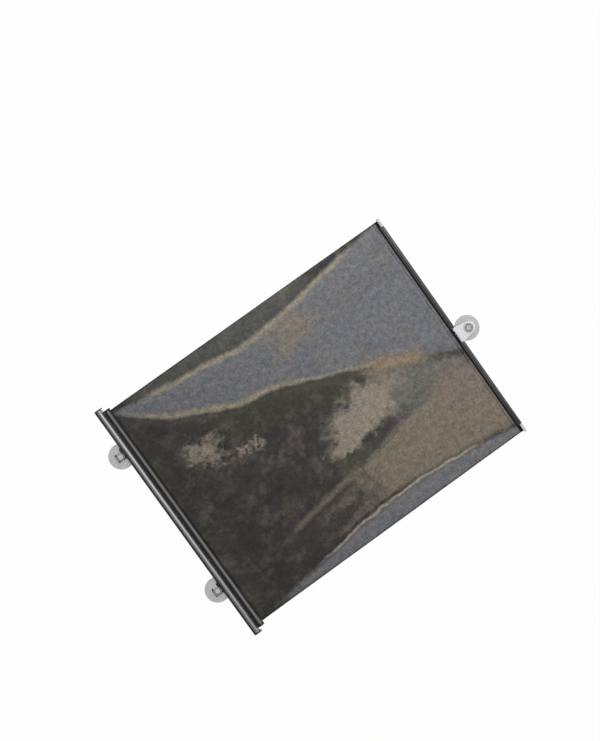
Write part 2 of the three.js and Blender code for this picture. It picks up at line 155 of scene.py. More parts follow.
def new_material(name, **sockets):
    """A material with its shader's even values set on its own sockets."""
    surface = bpy.data.materials.new(name)
    surface.use_nodes = True
    tree = surface.node_tree
    shader = tree.nodes["Principled BSDF"]
    for socket, value in sockets.items():
        shader.inputs[socket.replace("_", " ")].default_value = value
    return surface, tree, shader


def object_place(tree, stretch=(1, 1, 1)):
    """Object coordinates, stretched where a grain runs along the piece."""
    place = add_node(tree, "ShaderNodeTexCoord").outputs["Object"]
    return add_node(tree, "ShaderNodeMapping", {"Vector": place, "Scale": stretch}).outputs["Vector"]


def noise(tree, place, size, detail=4.0, roughness=0.55):
    """Soft random blots of about this size, in metres."""
    return add_node(tree, "ShaderNodeTexNoise", {
        "Vector": place, "Scale": grain(size), "Detail": detail, "Roughness": roughness,
    }).outputs["Fac"]


def span(tree, value, low, high, to_low=0.0, to_high=1.0, shape="LINEAR"):
    """Stretches the values between low and high over another span."""
    return add_node(tree, "ShaderNodeMapRange", {
        "Value": value, "From Min": low, "From Max": high, "To Min": to_low, "To Max": to_high,
    }, interpolation_type=shape).outputs["Result"]


def mixed(tree, share, first, second):
    return add_node(tree, "ShaderNodeMix", {
        "Factor": share, "A": first, "B": second,
    }, data_type="RGBA").outputs["Result"]


def maths(tree, kind, first, second=0.0):
    return add_node(tree, "ShaderNodeMath", {0: first, 1: second}, operation=kind).outputs[0]


def bumped(tree, shader, height, depth, strength=1.0, first=None):
    """Relief too fine for the mesh, over an earlier relief where there is one."""
    sockets = {"Height": height, "Distance": depth, "Strength": strength}
    if first is not None:
        sockets["Normal"] = first
    normal = add_node(tree, "ShaderNodeBump", sockets).outputs["Normal"]
    tree.links.new(normal, shader.inputs["Normal"])
    return normal


def link(tree, output, shader, socket):
    tree.links.new(output, shader.inputs[socket])


# Finishes

def moulded_abs():
    """Injection moulded black ABS: a fine spark-eroded grain that breaks up its sheen."""
    surface, tree, shader = new_material("moulded_abs_black", IOR=1.54)
    place = object_place(tree)
    cloud = noise(tree, place, 9 * MM)
    link(tree, mixed(tree, cloud, tone("#141416"), tone("#1d1d1f")), shader, "Base Color")
    fine = noise(tree, place, 0.35 * MM, 2.0)
    link(tree, span(tree, cloud, 0.3, 0.7, 0.34, 0.46), shader, "Roughness")
    bumped(tree, shader, fine, 0.03 * MM, 0.5)
    return surface


def painted_aluminium():
    """Black stoved paint on the drawn bar: smooth, with faint lines along the draw."""
    surface, tree, shader = new_material("stoved_black_paint", Coat_Weight=0.25, Coat_Roughness=0.2)
    place = object_place(tree, (1, 0.02, 1))
    lines = noise(tree, place, 0.5 * MM, 3.0)
    link(tree, mixed(tree, lines, tone("#0e0e10"), tone("#1a1a1d")), shader, "Base Color")
    link(tree, span(tree, lines, 0.3, 0.7, 0.28, 0.42), shader, "Roughness")
    bumped(tree, shader, lines, 0.02 * MM, 0.5)
    return surface


def anodised_aluminium():
    """Satin anodised cover: drawn lines along its length spread the highlight sideways."""
    surface, tree, shader = new_material("anodised_aluminium", Metallic=1.0)
    place = object_place(tree, (1, 0.008, 1))
    lines = noise(tree, place, 0.28 * MM, 5.0, 0.65)
    cloud = noise(tree, object_place(tree), 30 * MM)
    shade = mixed(tree, lines, tone("#8c8e90"), tone("#b8babc"))
    link(tree, mixed(tree, cloud, shade, tone("#a6a8aa")), shader, "Base Color")
    link(tree, span(tree, lines, 0.25, 0.75, 0.46, 0.6), shader, "Roughness")
    bumped(tree, shader, lines, 0.02 * MM, 0.6)
    return surface


def clear_vinyl():
    """Plasticised clear vinyl of the cups: a cool grey where it is seen through twice."""
    surface, tree, shader = new_material(
        "clear_plasticised_vinyl", Transmission_Weight=0.72, IOR=1.18)
    place = object_place(tree)
    cloud = noise(tree, place, 6 * MM)
    link(tree, mixed(tree, cloud, tone("#c0c1c0"), tone("#d4d4d3")), shader, "Base Color")
    link(tree, span(tree, cloud, 0.3, 0.7, 0.16, 0.3), shader, "Roughness")
    bumped(tree, shader, noise(tree, place, 7 * MM, 2.0), 0.02 * MM, 0.4)
    return surface


def clear_styrene():
    """Clear moulded polystyrene of the pull tab, faintly violet in its thick parts."""
    surface, tree, shader = new_material(
        "clear_moulded_polystyrene", Transmission_Weight=0.22, IOR=1.3)
    place = object_place(tree)
    flow = noise(tree, object_place(tree, (1, 0.3, 1)), 5 * MM)
    link(tree, mixed(tree, flow, tone("#eeeef4"), tone("#fafaff")), shader, "Base Color")
    link(tree, span(tree, flow, 0.3, 0.7, 0.08, 0.2), shader, "Roughness")
    bumped(tree, shader, noise(tree, place, 1.5 * MM), 0.02 * MM, 0.5)
    return surface


def white_polyethylene():
    """White polyethylene end plugs: waxy, soft-edged sheen."""
    surface, tree, shader = new_material("white_polyethylene", Sheen_Weight=0.05)
    place = object_place(tree)
    cloud = noise(tree, place, 3 * MM)
    link(tree, mixed(tree, cloud, tone("#c4c4c2"), tone("#d8d8d6")), shader, "Base Color")
    link(tree, span(tree, cloud, 0.3, 0.7, 0.38, 0.5), shader, "Roughness")
    bumped(tree, shader, noise(tree, place, 0.4 * MM, 2.0), 0.02 * MM, 0.5)
    return surface


def plated_steel():
    """Bright zinc plate on the roller tube and its shaft, with a rolled seam's faint lines."""
    surface, tree, shader = new_material("zinc_plated_steel", Metallic=1.0)
    lines = noise(tree, object_place(tree, (1, 0.02, 1)), 0.6 * MM)
    link(tree, mixed(tree, lines, tone("#7d7f82"), tone("#a6a8ab")), shader, "Base Color")
    link(tree, span(tree, lines, 0.3, 0.7, 0.3, 0.45), shader, "Roughness")
    return surface


def spring_wire():
    """Oil-tempered spring wire: dark, with a drawn sheen."""
    surface, tree, shader = new_material("oil_tempered_wire", Metallic=1.0)
    lines = noise(tree, object_place(tree), 0.9 * MM)
    link(tree, mixed(tree, lines, tone("#5d5f63"), tone("#8f9195")), shader, "Base Color")
    link(tree, span(tree, lines, 0.3, 0.7, 0.28, 0.42), shader, "Roughness")
    return surface


def border(tree, along, points):
    """A line across the film: how far it lies from the upper edge, all along the pull."""
    made = add_node(tree, "ShaderNodeFloatCurve", {"Value": along})
    line = made.mapping.curves[0]
    while len(line.points) < len(points):
        line.points.new(0.5, 0.5)
    for place, (u, v) in zip(line.points, points):
        place.location = (u, v)
        place.handle_type = "AUTO_CLAMPED"
    made.mapping.update()
    return made.outputs["Value"]


def strip_mask(tree, along, across, ragged, upper, lower, ends, soft):
    """One between two lines, fading past its ragged ends."""
    top, foot = border(tree, along, upper), border(tree, along, lower)
    inside = span(tree, maths(tree, "SUBTRACT", across, top), -soft, soft, shape="SMOOTHSTEP")
    outside = span(tree, maths(tree, "SUBTRACT", foot, across), -soft, soft, shape="SMOOTHSTEP")
    start = span(tree, ragged, ends[0] - 0.05, ends[0] + 0.05, shape="SMOOTHSTEP")
    stop = span(tree, ragged, ends[1] + 0.05, ends[1] - 0.05, shape="SMOOTHSTEP")
    return maths(tree, "MULTIPLY", maths(tree, "MULTIPLY", inside, outside),
                 maths(tree, "MULTIPLY", start, stop))


def patch_mask(tree, place, middle, half, lean, soft=0.35):
    """One inside a leaning oval patch of the film, fading over its rim."""
    turned_place = add_node(tree, "ShaderNodeMapping", {
        "Vector": place, "Location": (middle[0], middle[1], 0), "Rotation": (0, 0, math.radians(lean)),
        "Scale": (half[0], half[1], 1),
    }, vector_type="TEXTURE").outputs["Vector"]
    reach = add_node(tree, "ShaderNodeVectorMath", {0: turned_place}, operation="LENGTH")
    return span(tree, reach.outputs["Value"], 1 + soft, 1 - soft, shape="SMOOTHSTEP")


# The film's fields of colour are painted reflections in its metal coat. Lines run from the roll (0) to the
# bar (1) and give the share of the width from the +Y edge (0) to the -Y edge (1). Each field lies over
# those before it.
FIRST_LINE = [(0, 0.015), (0.14, 0.04), (0.32, 0.068), (0.44, 0.09), (0.6, 0.076), (0.8, 0.035), (1, 0.0)]
SECOND_LINE = [(0, 0.015), (0.128, 0.15), (0.238, 0.222), (0.337, 0.28), (0.47, 0.315), (0.58, 0.37),
               (0.69, 0.425), (0.86, 0.515), (1, 0.6)]
LOW_LINE = [(0, 0.985), (0.26, 0.955), (0.45, 0.925), (0.62, 0.918), (0.8, 0.932), (1, 0.965)]
STREAK_LINE = [(0, 0.9), (0.25, 0.8), (0.42, 0.765), (0.6, 0.735), (0.75, 0.69), (1, 0.65)]


def moved(points, by):
    """The same line, shifted across the film."""
    return [(u, min(max(v + by, 0.0), 1.0)) for u, v in points]


REFLECTION_STRIPS = [
    # colour, upper line, lower line, ends, softness
    ("#494945", moved(FIRST_LINE, -0.2), FIRST_LINE, (0.08, 0.72), 0.01),
    ("#66676b", FIRST_LINE, SECOND_LINE, (-0.1, 1.2), 0.012),
    ("#776e62", moved(FIRST_LINE, 0.02), moved(FIRST_LINE, 0.13), (0.52, 0.66), 0.04),
    ("#958b76", moved(FIRST_LINE, -0.002), moved(FIRST_LINE, 0.01), (0.12, 0.86), 0.012),
    ("#8f856e", moved(SECOND_LINE, -0.026), moved(SECOND_LINE, -0.006), (0.07, 0.5), 0.012),
    ("#857e71", moved(SECOND_LINE, -0.018), moved(SECOND_LINE, -0.004), (0.45, 0.75), 0.006),
    ("#83735f", moved(SECOND_LINE, -0.03), moved(SECOND_LINE, 0.03), (0.7, 0.9), 0.03),
    ("#62615a", moved(SECOND_LINE, 0.03), STREAK_LINE, (0.74, 1.2), 0.03),
    ("#35352b", moved(SECOND_LINE, 0.0), moved(SECOND_LINE, 0.12), (0.2, 0.7), 0.012),
    ("#71685a", moved(STREAK_LINE, 0.0), moved(LOW_LINE, -0.01), (0.5, 1.2), 0.014),
    ("#57514a", moved(STREAK_LINE, 0.03), moved(LOW_LINE, -0.01), (0.36, 0.52), 0.02),
    ("#665e53", moved(STREAK_LINE, -0.014), moved(STREAK_LINE, 0.006), (0.24, 0.72), 0.012),
    ("#2b2826", moved(LOW_LINE, -0.022), moved(LOW_LINE, -0.008), (0.33, 0.62), 0.006),
    ("#a1988d", moved(LOW_LINE, -0.006), moved(LOW_LINE, 0.003), (0.3, 0.85), 0.005),
    ("#65666a", moved(LOW_LINE, 0.006), moved(LOW_LINE, 0.3), (0.12, 1.2), 0.012),
]
REFLECTION_PATCHES = [
    # colour, middle, half size, lean in degrees, softness
    ("#80776a", (0.17, 0.345), (0.05, 0.045), 25, 0.5),
    ("#857b6e", (0.28, 0.425), (0.034, 0.016), 12, 0.6),
    ("#857b6d", (0.65, 0.57), (0.125, 0.08), -12, 0.5),
    ("#857b6d", (0.555, 0.635), (0.09, 0.055), -38, 0.5),
    ("#5d5f57", (0.83, 0.61), (0.09, 0.045), 0, 0.5),
    ("#72655f", (0.94, 0.69), (0.08, 0.07), 0, 0.5),
    ("#403e36", (0.545, 0.715), (0.085, 0.026), -8, 0.3),
    ("#37342f", (0.41, 0.855), (0.1, 0.03), -6, 0.4),
]


def film_place(tree):
    """Places on the film in metres, from its own flat map, so that they go where it goes."""
    flat = add_node(tree, "ShaderNodeUVMap", uv_map="flat").outputs["UV"]
    size = add_node(tree, "ShaderNodeVectorMath", {
        0: flat, 1: (FILM_REACH, FILM_WIDTH, 0)}, operation="MULTIPLY")
    return flat, size.outputs["Vector"]


def strayed(tree, flat, shift, reach):
    """Places that stray a little, so that a field's border is uneven."""
    step = add_node(tree, "ShaderNodeVectorMath", {
        0: shift, 1: (reach, reach, 0)}, operation="MULTIPLY").outputs["Vector"]
    return add_node(tree, "ShaderNodeVectorMath", {0: flat, 1: step}, operation="ADD").outputs["Vector"]


def metallised_film():
    """Smoked polyester film with a thin metal coat, and painted reflections in fields of dark brown, grey
    and tan.
    """
    surface, tree, shader = new_material("metallised_polyester_film", Metallic=0.2, IOR=1.3)
    flat, place = film_place(tree)
    wander = add_node(tree, "ShaderNodeTexNoise", {
        "Vector": place, "Scale": grain(26 * MM), "Detail": 8.0, "Roughness": 0.68})
    shift = add_node(tree, "ShaderNodeVectorMath", {
        0: wander.outputs["Color"], 1: (0.5, 0.5, 0.5)}, operation="SUBTRACT").outputs["Vector"]
    lined = strayed(tree, flat, shift, 0.035)
    ragged = strayed(tree, flat, shift, 0.26)
    parts = add_node(tree, "ShaderNodeSeparateXYZ", {"Vector": lined})
    along, across = parts.outputs["X"], parts.outputs["Y"]
    far = add_node(tree, "ShaderNodeSeparateXYZ", {"Vector": ragged}).outputs["X"]

    cloud = noise(tree, place, 45 * MM, 5.0, 0.6)
    shade = mixed(tree, span(tree, cloud, 0.35, 0.65), tone("#2b2927"), tone("#373532"))
    # Painted reflections, laid strip by strip and then patch by patch
    for colour, upper, lower, ends, soft in REFLECTION_STRIPS:
        share = strip_mask(tree, along, across, far, upper, lower, ends, soft)
        shade = mixed(tree, share, shade, tone(colour))
    for colour, middle, half, lean, soft in REFLECTION_PATCHES:
        share = patch_mask(tree, ragged, middle, half, lean, soft)
        shade = mixed(tree, share, shade, tone(colour))

    # Painted reflection: brown blots and dark flecks over the fields
    brown = span(tree, noise(tree, place, 38 * MM, 7.0, 0.68), 0.5, 0.68)
    shade = mixed(tree, maths(tree, "MULTIPLY", brown, 0.34), shade, tone("#7a6f62"))
    fleck = span(tree, noise(tree, place, 11 * MM, 7.0, 0.75), 0.58, 0.68)
    shade = mixed(tree, maths(tree, "MULTIPLY", fleck, 0.4), shade, tone("#33302c"))
    # Mottling, coarse and fine
    mottle = span(tree, noise(tree, place, 9 * MM, 6.0, 0.75), 0.3, 0.7, 0.6, 1.42)
    speck = span(tree, noise(tree, place, 3.2 * MM, 4.0, 0.75), 0.3, 0.7, 0.66, 1.36)
    strength = maths(tree, "MULTIPLY", mottle, speck)
    shade = add_node(tree, "ShaderNodeVectorMath", {0: shade, "Scale": strength},
                     operation="SCALE").outputs["Vector"]
    # Punched dots
    dots = add_node(tree, "ShaderNodeTexVoronoi", {
        "Vector": place, "Scale": grain(1.3 * MM), "Randomness": 0.15},
        voronoi_dimensions="2D").outputs["Distance"]
    hole = span(tree, dots, 0.22, 0.3, 1.0, 0.0)
    shade = mixed(tree, maths(tree, "MULTIPLY", hole, 0.35), shade, tone("#1c1b1a"))
    # Painted highlight along the hem's crease, then painted shade on the hem inside the bar
    hem_crease_highlight = span(tree, maths(tree, "ABSOLUTE", maths(tree, "SUBTRACT", along, 0.984)), 0.003, 0.001)
    shade = mixed(tree, maths(tree, "MULTIPLY", hem_crease_highlight, 0.08), shade, tone("#a8a59f"))
    straight = add_node(tree, "ShaderNodeSeparateXYZ", {"Vector": flat}).outputs["X"]
    shade = mixed(tree, span(tree, straight, 0.9935, 0.9965), shade, tone("#161616"))
    link(tree, shade, shader, "Base Color")
    link(tree, span(tree, cloud, 0.3, 0.7, 0.28, 0.42), shader, "Roughness")
    crinkle = bumped(tree, shader, noise(tree, place, 14 * MM, 5.0), 0.25 * MM, 0.5)
    bumped(tree, shader, dots, 0.05 * MM, 0.5, crinkle)
    return surface


def wound_film():
    """The film's turns on the roller: a darker copy of the film, partly painted shade for the roll's dim
    flanks.
    """
    surface, tree, shader = new_material("wound_polyester_film", Metallic=0.3, IOR=2.1)
    place = object_place(tree, (1, 0.04, 1))
    lines = noise(tree, place, 1.2 * MM, 5.0)
    cloud = noise(tree, object_place(tree, (1, 0.3, 1)), 40 * MM)
    shade = mixed(tree, lines, tone("#111111"), tone("#222221"))
    worn = maths(tree, "MULTIPLY", cloud, 0.4)
    link(tree, mixed(tree, worn, shade, tone("#2c2b2a")), shader, "Base Color")
    link(tree, span(tree, lines, 0.3, 0.7, 0.18, 0.28), shader, "Roughness")
    bumped(tree, shader, lines, 0.06 * MM, 0.6)
    return surface


ABS = moulded_abs()
PAINT = painted_aluminium()
ALUMINIUM = anodised_aluminium()
VINYL = clear_vinyl()
STYRENE = clear_styrene()
POLYETHYLENE = white_polyethylene()
STEEL = plated_steel()
WIRE = spring_wire()
FILM = metallised_film()
WOUND = wound_film()


# Working on a piece

def only(piece):
    """Makes the piece the one that is selected and active."""
    bpy.ops.object.select_all(action="DESELECT")
    piece.select_set(True)
    bpy.context.view_layer.objects.active = piece
    return piece


def started(name):
    """Names the primitive just added and puts its place into its mesh."""
    piece = bpy.context.view_layer.objects.active
    piece.name = name
    only(piece)
    bpy.ops.object.transform_apply(location=True, rotation=True, scale=True)
    return piece


def pick(kind, test):
    """Selects the faces or edges of the piece in edit mode whose middle passes the test."""
    bpy.ops.mesh.select_mode(type=kind)
    bpy.ops.mesh.select_all(action="DESELECT")
    mesh = bmesh.from_edit_mesh(bpy.context.edit_object.data)
    for part in (mesh.faces if kind == "FACE" else mesh.edges):
        middle = sum((v.co for v in part.verts), Vector()) / len(part.verts)
        if test(middle, part):
            part.select_set(True)
    mesh.select_flush_mode()
    bmesh.update_edit_mesh(bpy.context.edit_object.data)


def finish_with(piece, kind, **settings):
    """Adds a modifier, sets it and applies it."""
    only(piece)
    bpy.ops.object.modifier_add(type=kind)
    made = piece.modifiers[-1]
    for option, value in settings.items():
        setattr(made, option, value)
    bpy.ops.object.modifier_apply(modifier=made.name)
    return piece


def softened(piece, width, segments=3, angle=30):
    """Rounds the sharp edges, then shades the round ones smooth."""
    finish_with(piece, "BEVEL", width=width, segments=segments, limit_method="ANGLE",
                angle_limit=math.radians(angle), use_clamp_overlap=True)
    bpy.ops.object.shade_smooth_by_angle(angle=math.radians(40))
    return piece


def outward(piece):
    """Closes the seams and turns the faces outwards."""
    only(piece)
    bpy.ops.object.mode_set(mode="EDIT")
    bpy.ops.mesh.select_all(action="SELECT")
    bpy.ops.mesh.remove_doubles(threshold=MERGE_WITHIN)
    bpy.ops.mesh.normals_make_consistent(inside=False)
    bpy.ops.object.mode_set(mode="OBJECT")
    return piece


def turned(name, centre, profile, sides, along="z"):
    """A round piece: a ring is extruded and scaled along its profile, and closed at both ends
    with a face each, or on itself where the profile ends at its start."""
    x, y, z = centre
    radius, height = profile[0]
    spin = (0, 0, 0) if along == "z" else (math.radians(90), 0, 0)
    level = (lambda h: (x, y, z + h)) if along == "z" else (lambda h: (x, y + h, z))
    bpy.ops.mesh.primitive_circle_add(vertices=sides, radius=radius, location=level(height), rotation=spin)
    piece = started(name)
    bpy.ops.object.mode_set(mode="EDIT")
    bpy.ops.mesh.select_all(action="SELECT")
    for next_radius, next_height in profile[1:]:
        rise = Vector(level(next_height)) - Vector(level(height))
        bpy.ops.mesh.extrude_edges_move(TRANSFORM_OT_translate={"value": rise})
        scale = next_radius / radius
        size = (scale, scale, 1) if along == "z" else (scale, 1, scale)
        bpy.ops.transform.resize(value=size, center_override=level(next_height))
        radius, height = next_radius, next_height
    if profile[0] != profile[-1]:
        bpy.ops.mesh.select_all(action="DESELECT")
        bpy.ops.mesh.select_mode(type="VERT")
        bpy.ops.mesh.select_non_manifold()
        bpy.ops.mesh.fill_holes(sides=0)
    bpy.ops.object.mode_set(mode="OBJECT")
    return outward(piece)


def copied(piece, name, shift):
    """A second of the same piece, with a mesh of its own."""
    only(piece)
    bpy.ops.object.duplicate(linked=False)
    bpy.ops.transform.translate(value=shift)
    return started(name)


def eased(node, name, width, segments=3):
    """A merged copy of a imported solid, its flat sides made whole and its edges rounded."""
    only(frame["nodes"][node])
    bpy.ops.object.duplicate(linked=False)
    piece = bpy.context.view_layer.objects.active
    for key in list(piece.keys()):
        del piece[key]
    bpy.ops.object.parent_clear(type="CLEAR_KEEP_TRANSFORM")
    piece = started(name)
    bpy.ops.object.mode_set(mode="EDIT")
    bpy.ops.mesh.select_all(action="SELECT")
    bpy.ops.mesh.remove_doubles(threshold=0.005 * MM)
    bpy.ops.mesh.dissolve_limited(angle_limit=math.radians(1))
    bpy.ops.object.mode_set(mode="OBJECT")
    return softened(piece, width, segments)


def dressed(piece, surface, body, slot, *nodes):
    """Gives the piece its finish and its body, and hides the solids that it stands for; its slot is not
    used.
    """
    piece.data.materials.clear()
    piece.data.materials.append(surface)
    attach(piece, body)
    if nodes:
        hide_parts(*nodes)
    return piece


# Housing

def half_round_cover():
    """The cover: a tube halved lengthwise, with a leg behind the outer wall."""
    low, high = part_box("housing_cover")
    radius = (high.x - low.x) / 2
    axis_x, axis_z = (low.x + high.x) / 2, high.z - radius
    bpy.ops.mesh.primitive_cylinder_add(
        vertices=96, radius=radius, depth=high.y - low.y, end_fill_type="NOTHING",
        location=(axis_x, (low.y + high.y) / 2, axis_z), rotation=(math.radians(90), 0, 0))
    piece = started("half_round_cover")
    bpy.ops.object.mode_set(mode="EDIT")
    bpy.ops.mesh.select_all(action="SELECT")
    bpy.ops.mesh.bisect(plane_co=(axis_x, 0, axis_z), plane_no=(0, 0, 1), clear_inner=True)
    pick("EDGE", lambda middle, edge: abs(middle.z - axis_z) < 0.01 * MM
         and middle.x < axis_x and len(edge.link_faces) == 1)
    bpy.ops.mesh.extrude_edges_move(TRANSFORM_OT_translate={"value": (0, 0, low.z - axis_z)})
    bpy.ops.mesh.select_all(action="SELECT")
    bpy.ops.mesh.remove_doubles(threshold=MERGE_WITHIN)
    bpy.ops.object.mode_set(mode="OBJECT")
    middle = Vector((axis_x, 0, axis_z))
    faces = piece.data.polygons
    if sum((f.center - middle).dot(f.normal) > 0 for f in faces) * 2 < len(faces):
        piece.data.flip_normals()
    finish_with(piece, "SOLIDIFY", thickness=COVER_SHEET, offset=-1.0, use_even_offset=True)
    softened(piece, 0.12 * MM, 2)
    return piece


def end_guard(name, side):
    """The arm's raised ring, which hides the cut edges of the turns."""
    low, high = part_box("film_roll")
    axis = ((low.x + high.x) / 2, 0, (low.z + high.z) / 2)
    outer = ROLL_RADIUS - GUARD_OFF_ROLL
    inner = outer - GUARD_WALL
    near, far = side * (high.y + GUARD_START), side * (high.y + GUARD_END)
    section = [(outer, near), (outer, far), (inner, far), (inner, near), (outer, near)]
    return turned(name, axis, section, 96, along="y")


dressed(half_round_cover(), ALUMINIUM, "housing", "silver_aluminium", "housing_cover")

base = eased("housing_base", "housing_channel", 0.25 * MM)
dressed(base, ABS, "housing", "black_plastic", "housing_base")
for cap in ("end_cap_idler", "end_cap_spring"):
    piece = eased(cap, cap.replace("end_cap", "moulded_cap"), 0.35 * MM)
    end = 1 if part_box(cap)[0].y > 0 else -1
    guard = end_guard("guard_of_" + cap, end)
    only(guard)
    piece.select_set(True)
    bpy.context.view_layer.objects.active = piece
    bpy.ops.object.join()
    dressed(piece, ABS, "housing", "black_plastic", cap)
for number in (1, 2):
    piece = eased(f"fork_{number}", f"moulded_fork_{number}", 0.3 * MM)
    dressed(piece, ABS, "housing", "black_plastic", f"fork_{number}")


# Roller

def roll_of_film():
    """The turns left on the roller: their edges stand a little apart at both ends."""
    low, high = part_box("film_roll")
    axis = ((low.x + high.x) / 2, 0, (low.z + high.z) / 2)
    half = (high.y - low.y) / 2
    turn = (ROLL_RADIUS - ROLL_BORE) / len(TURN_DEPTHS)
    face = []
    for i, depth in enumerate(TURN_DEPTHS):
        outer = ROLL_RADIUS - i * turn
        level = half - depth * MM
        face += [(outer - TURN_GAP, level), (outer - turn + TURN_GAP, level)]
    far_face = [(radius, -level) for radius, level in face]
    piece = turned("roll_of_film", axis, face[::-1] + far_face + [face[-1]], 96, along="y")
    bpy.ops.object.shade_smooth_by_angle(angle=math.radians(30))
    return piece


dressed(roll_of_film(), WOUND, "roller", "film", "film_roll")


# Suction cups

def suction_cup(name, x, y):
    """A clear cup: hollow dome, waist for its fork and a flat round head with a dimple."""
    # Radius and height in mm of each ring
    underside = [(0.3, 6.15), (3.2, 5.95), (4.4, 5.75), (7.3, 5.0), (10.7, 3.66), (14.3, 2.06),
                 (17.2, 0.72), (18.7, 0.05)]
    rim = [(19.0, 0.0), (20.1, 0.0), (20.3, 0.12), (20.3, 0.45), (20.1, 0.6)]
    dome = [(18.9, 1.05), (17.3, 1.55), (13.9, 3.48), (12.9, 3.86), (12.5, 4.3), (10.5, 5.26),
            (7.6, 6.58), (5.6, 7.52), (4.2, 8.55), (3.5, 9.25)]
    waist = [(3.4, 9.6), (3.4, 12.8)]
    head = [(3.7, 13.0), (6.3, 13.02), (6.75, 13.2), (6.9, 13.7), (6.9, 16.6), (6.7, 17.15), (6.3, 17.35),
            (5.9, 17.38), (2.0, 17.38), (1.7, 17.3), (1.4, 17.0), (0.9, 16.9), (0.3, 16.88)]
    profile = [(r * MM, h * MM) for r, h in underside + rim + dome + waist + head]
    piece = turned(name, (x, y, 0), profile, 64)
    finish_with(piece, "SUBSURF", levels=1, render_levels=1)
    only(piece)
    bpy.ops.object.shade_smooth()
    return piece


tab_cup_low, tab_cup_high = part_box("suction_cup_3")
tab_cup_middle = (tab_cup_low + tab_cup_high) / 2
cup_at_tab = suction_cup("vinyl_cup_3", tab_cup_middle.x, tab_cup_middle.y)
for number in (1, 2):
    low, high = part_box(f"suction_cup_{number}")
    shift = (low + high) / 2 - tab_cup_middle
    shift.z = 0
    piece = copied(cup_at_tab, f"vinyl_cup_{number}", shift)
    dressed(piece, VINYL, f"cup_{number}", "clear_vinyl", f"suction_cup_{number}")
dressed(cup_at_tab, VINYL, "cup_3", "clear_vinyl", "suction_cup_3")


# Pull bar

def bar_channel(name, node):
    """A slotted tube round the hem, drawn in one with a hollow box for the plugs."""
    low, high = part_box(node)
    middle_y, length = (low.y + high.y) / 2, high.y - low.y
    axis_x, axis_z = low.x + CHANNEL_RADIUS, (low.z + high.z) / 2
    bpy.ops.mesh.primitive_cylinder_add(
        vertices=40, radius=CHANNEL_RADIUS, depth=length, end_fill_type="NOTHING",
        location=(axis_x, middle_y, axis_z), rotation=(math.radians(90), 0, 0))
    tube = started(name)
    bpy.ops.object.mode_set(mode="EDIT")
    pick("FACE", lambda middle, face: middle.x < axis_x - CHANNEL_LIP_REACH
         and abs(middle.z - axis_z) < CHANNEL_SLOT_HALF)
    bpy.ops.mesh.delete(type="FACE")
    bpy.ops.object.mode_set(mode="OBJECT")
    finish_with(tube, "SOLIDIFY", thickness=CHANNEL_WALL, offset=-1.0, use_even_offset=True)

    box_x0 = axis_x + CHANNEL_RADIUS - CHANNEL_WALL
    bpy.ops.mesh.primitive_cube_add(
        size=1, location=((box_x0 + high.x) / 2, middle_y, axis_z),
        scale=(high.x - box_x0, length, 2 * PLUG_BOX_HALF))
    box = started(name + "_box")
    bpy.ops.object.mode_set(mode="EDIT")
    pick("FACE", lambda middle, face: abs(face.normal.y) > 0.9)
    bpy.ops.mesh.inset(thickness=CHANNEL_WALL)
    bpy.ops.mesh.bridge_edge_loops()
    bpy.ops.object.mode_set(mode="OBJECT")
    finish_with(tube, "BOOLEAN", operation="UNION", object=box, solver="EXACT")
    bpy.data.objects.remove(box)
    outward(tube)
    return softened(tube, 0.25 * MM, 3)


for part in ("long", "short"):
    node = "bar_channel_" + part
    dressed(bar_channel("drawn_bar_" + part, node), PAINT, "pull_bar", "black_plastic", node)
for number in (1, 2):
    piece = eased(f"bar_plug_{number}", f"moulded_plug_{number}", 0.45 * MM, 4)
    dressed(piece, POLYETHYLENE, "pull_bar", "white_plastic", f"bar_plug_{number}")
tab = eased("pull_tab", "moulded_pull_tab", 0.4 * MM, 4)
dressed(tab, STYRENE, "pull_bar", "clear_plastic", "pull_tab")


# Film

def ridge(along, across, line, height, width):
    """A soft tension fold that follows a line of points, in metres."""
    near = np.full(along.shape, 1e9)
    for (a0, c0), (a1, c1) in zip(line, line[1:]):
        reach = (a1 - a0) ** 2 + (c1 - c0) ** 2
        share = np.clip(((along - a0) * (a1 - a0) + (across - c0) * (c1 - c0)) / reach, 0, 1)
        near = np.minimum(near, np.hypot(along - a0 - share * (a1 - a0), across - c0 - share * (c1 - c0)))
    return height * np.exp(-(near / width) ** 2)


def fold_line(points):
    """A border of the film's painted reflections as a line on the film, in metres."""
    return [(u * FILM_REACH, v * FILM_WIDTH) for u, v in points]


# Line, height in mm and half width in mm of each tension fold
FOLDS = [
    (FIRST_LINE, -0.9, 6),
    (moved(FIRST_LINE, -0.035), 0.12, 7),
    (SECOND_LINE, -1.0, 9),
    (moved(SECOND_LINE, 0.05), 0.12, 14),
    (STREAK_LINE, -0.45, 7),
    (LOW_LINE, -0.8, 5),
]
SAG = 0.4 * MM


def film_relief(along, across, pull):
    """Height of the film over its flat plane, low enough to pass under the roll when wound in."""
    # Slow ripples across the pull, one straight and one leaning
    wave = 0.16 * MM * np.sin(2 * np.pi * across / 0.047 + 1.1 * np.sin(2 * np.pi * along / 0.31))
    wave += 0.1 * MM * np.sin(2 * np.pi * (across + 0.28 * along) / 0.023 + 0.7)
    for line, height, width in FOLDS:
        wave += ridge(along, across, fold_line(line), height * MM, width * MM)
    # Cockled side edges, then puckers along the hem
    edge = np.minimum(across, FILM_WIDTH - across)
    wave += 0.2 * MM * np.exp(-(edge / 0.006) ** 2) * np.sin(2 * np.pi * along / 0.09)
    near_hem = np.exp(-((pull - along) / 0.016) ** 2)
    wave += 0.22 * MM * near_hem * np.sin(2 * np.pi * across / 0.027 + 2 * np.sin(across / 0.05))
    wave -= SAG
    # Flat again where the roll and the hem hold it
    taut = np.clip(along / 0.05, 0, 1) * np.clip((pull - along) / 0.012, 0, 1)
    return wave * taut * taut * (3 - 2 * taut)


